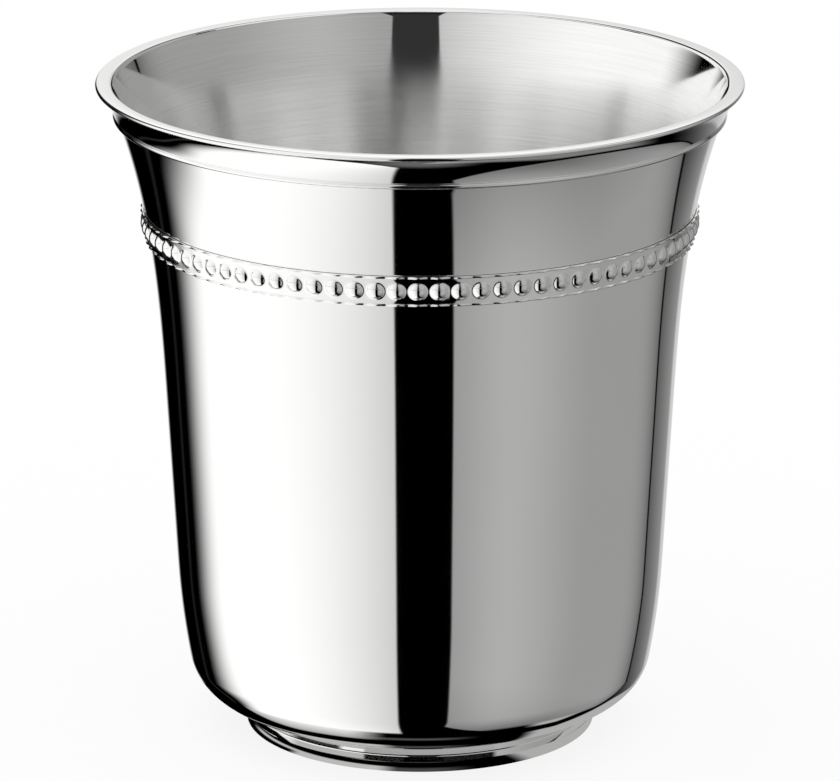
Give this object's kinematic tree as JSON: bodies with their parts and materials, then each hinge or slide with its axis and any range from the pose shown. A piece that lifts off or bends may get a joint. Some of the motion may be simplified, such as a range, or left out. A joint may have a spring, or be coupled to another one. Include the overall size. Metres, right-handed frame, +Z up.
{
  "type": "footed metal beaker",
  "caption": "Polished metal drinking beaker with a tapered wall that flares to a moulded lip, a band of beads round the neck and a low ring foot.",
  "frame": {"origin": "centre of the foot ring at the table", "axes": "+Z up along the axis of the cup; the picture looks along +Y"},
  "size_m": [0.0756, 0.0756, 0.0783],
  "materials": {
    "polished_silver": "mirror polish outside, satin brushed inside"
  },
  "bodies": {
    "root": {"cup_body": "polished_silver", "rim_moulding": "polished_silver", "bead_band": "polished_silver", "foot_ring": "polished_silver"}
  },
  "joints": []
}
